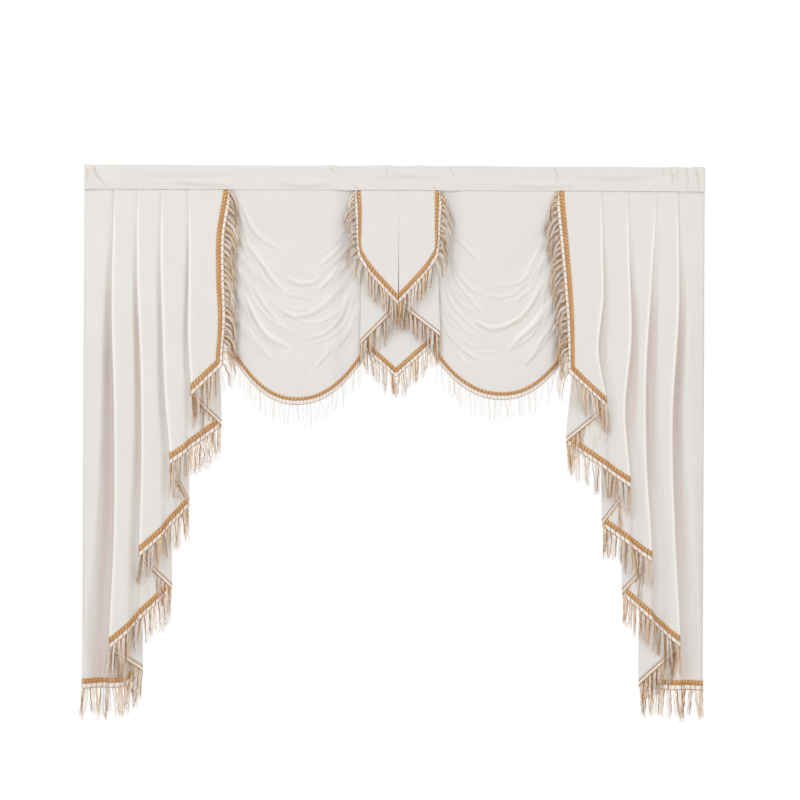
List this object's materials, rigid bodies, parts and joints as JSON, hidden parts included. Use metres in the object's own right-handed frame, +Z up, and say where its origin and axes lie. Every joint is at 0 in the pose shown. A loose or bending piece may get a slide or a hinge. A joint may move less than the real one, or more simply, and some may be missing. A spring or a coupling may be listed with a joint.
{
  "type": "swag and tail window valance",
  "caption": "Swag and tail valance of white satin: a rod pocket, two knife-pleated tails, two draped swags and a short centre jabot, edged with gold fringe.",
  "frame": {"origin": "middle of the rod pocket's top edge, at the pocket's middle plane", "axes": "+X along the heading to the right as seen from the front, -Y towards the room, the front face, +Z up"},
  "size_m": [1.7981, 0.0461, 1.5911],
  "materials": {
    "satin": "warm white satin with a soft sheen",
    "gold_fringe": "gold and tan braid with thin twisted strands"
  },
  "bodies": {
    "root": {"rod_pocket": "satin", "left_tail": "satin", "right_tail": "satin", "left_swag": "satin", "right_swag": "satin", "centre_jabot": "satin", "left_tail_fringe": "gold_fringe", "right_tail_fringe": "gold_fringe", "left_swag_fringe": "gold_fringe", "right_swag_fringe": "gold_fringe", "centre_jabot_fringe": "gold_fringe"}
  },
  "joints": []
}
